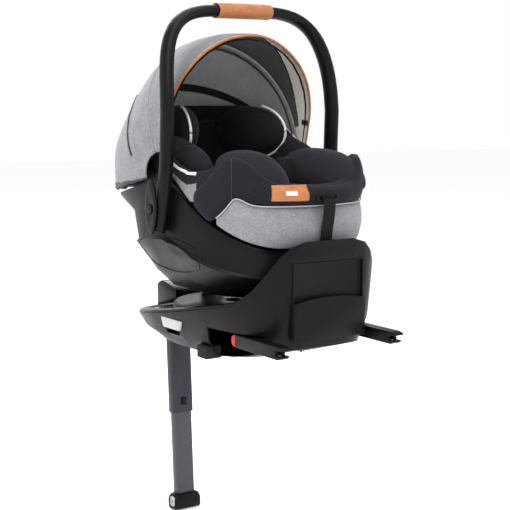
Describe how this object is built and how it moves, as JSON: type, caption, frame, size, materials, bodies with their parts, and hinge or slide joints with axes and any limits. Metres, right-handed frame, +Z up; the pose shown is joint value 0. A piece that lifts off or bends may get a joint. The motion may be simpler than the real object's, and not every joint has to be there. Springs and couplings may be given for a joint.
{
  "type": "infant car seat",
  "caption": "Rear-facing infant carrier with fabric canopy and carry handle, docked on a swivelling car-seat base with rebound wall, anchor arms and folding load leg.",
  "frame": {"origin": "on the turntable's vertical axis, at the plane of the base's underside", "axes": "+Z up; -Y towards the rebound wall and the vehicle backrest, where the child's feet point; +Y towards the nose and the child's head; +X to the right seen from the backrest side"},
  "size_m": [0.4626, 0.7791, 1.1918],
  "materials": {
    "plastic_black": "satin black moulded plastic",
    "plastic_gloss": "semi-gloss black moulded plastic",
    "plastic_grey": "light grey plastic",
    "plastic_red": "red plastic",
    "steel": "bright steel",
    "leg_dark": "dark anodised aluminium",
    "leg_grey": "grey anodised aluminium",
    "rubber": "matt rubber",
    "fabric_black": "charcoal knit",
    "fabric_grey": "heather grey weave",
    "leather_tan": "stitched tan leather",
    "webbing_black": "woven black webbing"
  },
  "bodies": {
    "base": {"base_lower_shell": "plastic_black", "base_upper_shell": "plastic_gloss", "storage_tray": "plastic_black", "storage_pocket_panel": "plastic_black", "side_pad_left": "rubber", "side_pad_right": "rubber", "leg_channel": "plastic_black", "leg_hinge_pin": "steel", "bearing_ring": "steel", "docking_bracket": "plastic_gloss"},
    "spin_button_left": {"spin_button_left": "plastic_grey"},
    "spin_button_right": {"spin_button_right": "plastic_grey"},
    "release_lever": {"release_lever": "steel"},
    "isofix_frame": {"isofix_arm_left": "plastic_black", "isofix_arm_right": "plastic_black", "isofix_cross_tube": "steel"},
    "isofix_hook_left": {"isofix_hook_left": "steel"},
    "isofix_hook_right": {"isofix_hook_right": "steel"},
    "isofix_release_left": {"isofix_release_left": "plastic_red"},
    "isofix_release_right": {"isofix_release_right": "plastic_red"},
    "leg_upper": {"leg_outer_tube": "leg_dark"},
    "leg_button": {"leg_button": "plastic_grey"},
    "leg_lower": {"leg_inner_tube": "leg_grey", "leg_foot": "plastic_black", "leg_sole": "rubber"},
    "turntable": {"turntable_disc": "plastic_black", "docking_claw_fixed": "steel"},
    "docking_latch": {"docking_claw_latch": "steel"},
    "carrier": {"carrier_shell": "plastic_black", "dock_bar_foot": "steel", "dock_bar_head": "steel", "canopy_rear": "fabric_grey"},
    "handle": {"handle_tube": "plastic_black", "leather_grip": "leather_tan", "hub_cover_left": "plastic_gloss", "hub_cover_right": "plastic_gloss"},
    "handle_button_left": {"handle_button_left": "plastic_grey"},
    "handle_button_right": {"handle_button_right": "plastic_grey"},
    "canopy_middle": {"canopy_middle": "fabric_grey", "canopy_middle_bow": "plastic_black"},
    "canopy_front": {"canopy_front": "fabric_grey", "canopy_front_bow": "plastic_black"},
    "seat": {"seat_bucket": "plastic_black", "seat_cushion": "fabric_black", "body_support_insert": "fabric_black", "shoulder_strap_left": "webbing_black", "shoulder_strap_right": "webbing_black", "chest_pad_left": "fabric_black", "chest_pad_right": "fabric_black", "crotch_pad": "fabric_black", "buckle": "plastic_black", "foot_cushion": "fabric_black", "foot_panel": "fabric_grey", "adjuster_housing": "plastic_black", "adjuster_strap": "webbing_black"},
    "buckle_button": {"buckle_button": "plastic_red"},
    "adjuster_button": {"adjuster_button": "plastic_grey"},
    "recline_handle": {"recline_handle": "plastic_black"},
    "headrest": {"headrest_shell": "plastic_black", "headrest_pad": "fabric_black"}
  },
  "joints": [
    {"name": "spin_button_left", "type": "slide", "parent": "base", "child": "spin_button_left", "axis": [1, 0, 0], "range_m": [0, 0.003], "stiffness_N_per_m": 400},
    {"name": "spin_button_right", "type": "slide", "parent": "base", "child": "spin_button_right", "axis": [-1, 0, 0], "range_m": [0, 0.003], "stiffness_N_per_m": 400},
    {"name": "release_lever", "type": "hinge", "parent": "base", "child": "release_lever", "pos_m": [0, 0.214, 0.101], "axis": [1, 0, 0], "range_deg": [0, 15], "stiffness_Nm_per_rad": 0.5},
    {"name": "isofix_extend", "type": "slide", "parent": "base", "child": "isofix_frame", "axis": [0, 1, 0], "range_m": [0, 0.06]},
    {"name": "isofix_release_left", "type": "slide", "parent": "isofix_frame", "child": "isofix_release_left", "axis": [0, 1, 0], "range_m": [0, 0.005]},
    {"name": "isofix_release_right", "type": "slide", "parent": "isofix_frame", "child": "isofix_release_right", "axis": [0, 1, 0], "range_m": [0, 0.005]},
    {"name": "isofix_hook_left", "type": "hinge", "parent": "isofix_frame", "child": "isofix_hook_left", "pos_m": [-0.14, -0.355, 0.0475], "axis": [1, 0, 0], "range_deg": [-25, 0]},
    {"name": "isofix_hook_right", "type": "hinge", "parent": "isofix_frame", "child": "isofix_hook_right", "pos_m": [0.14, -0.355, 0.0475], "axis": [1, 0, 0], "range_deg": [-25, 0]},
    {"name": "leg_fold", "type": "hinge", "parent": "base", "child": "leg_upper", "pos_m": [0, 0.255, 0.021], "axis": [1, 0, 0], "range_deg": [-86.6, 0]},
    {"name": "leg_extend", "type": "slide", "parent": "leg_upper", "child": "leg_lower", "axis": [0, -0.0593, -0.9982], "range_m": [-0.09, 0.035]},
    {"name": "leg_button", "type": "slide", "parent": "leg_upper", "child": "leg_button", "axis": [0, 0.9982, -0.0593], "range_m": [0, 0.0012], "stiffness_N_per_m": 300},
    {"name": "spin", "type": "hinge", "parent": "base", "child": "turntable", "pos_m": [0, 0, 0.09], "axis": [0, 0, 1], "continuous": true},
    {"name": "docking_latch", "type": "hinge", "parent": "turntable", "child": "docking_latch", "pos_m": [0, 0.095, 0.096], "axis": [1, 0, 0], "range_deg": [-8, 0], "stiffness_Nm_per_rad": 1},
    {"name": "carrier_lift", "type": "slide", "parent": "turntable", "child": "carrier", "axis": [0, 0, 1], "range_m": [0, 0.12]},
    {"name": "handle_swing", "type": "hinge", "parent": "carrier", "child": "handle", "pos_m": [0, -0.035, 0.309], "axis": [-1, 0, 0], "range_deg": [-60, 55]},
    {"name": "handle_button_left", "type": "slide", "parent": "handle", "child": "handle_button_left", "axis": [1, 0, 0], "range_m": [0, 0.0015], "stiffness_N_per_m": 300},
    {"name": "handle_button_right", "type": "slide", "parent": "handle", "child": "handle_button_right", "axis": [-1, 0, 0], "range_m": [0, 0.0015], "stiffness_N_per_m": 300},
    {"name": "canopy_middle_fold", "type": "hinge", "parent": "carrier", "child": "canopy_middle", "pos_m": [0, 0, 0.378], "axis": [-1, 0, 0], "range_deg": [0, 28]},
    {"name": "canopy_front_fold", "type": "hinge", "parent": "canopy_middle", "child": "canopy_front", "pos_m": [0, 0, 0.378], "axis": [-1, 0, 0], "range_deg": [0, 28]},
    {"name": "seat_recline", "type": "hinge", "parent": "carrier", "child": "seat", "pos_m": [0, -0.08, 0.48], "axis": [-1, 0, 0], "range_deg": [0, 5]},
    {"name": "headrest_slide", "type": "slide", "parent": "seat", "child": "headrest", "axis": [0, 0, 1], "range_m": [0, 0.05]},
    {"name": "buckle_button", "type": "slide", "parent": "seat", "child": "buckle_button", "axis": [0, -1, 0], "range_m": [0, 0.0015], "stiffness_N_per_m": 300},
    {"name": "adjuster_button", "type": "slide", "parent": "seat", "child": "adjuster_button", "axis": [0, 1, 0], "range_m": [0, 0.0015], "stiffness_N_per_m": 300},
    {"name": "recline_handle", "type": "slide", "parent": "seat", "child": "recline_handle", "axis": [0, -1, 0], "range_m": [0, 0.004], "stiffness_N_per_m": 300}
  ],
  "couplings": [
    {"joint": "isofix_hook_left", "follows": "isofix_release_left", "rad_per_m": -87.2},
    {"joint": "isofix_hook_right", "follows": "isofix_release_right", "rad_per_m": -87.2},
    {"joint": "canopy_front_fold", "follows": "canopy_middle_fold", "ratio": 1}
  ]
}
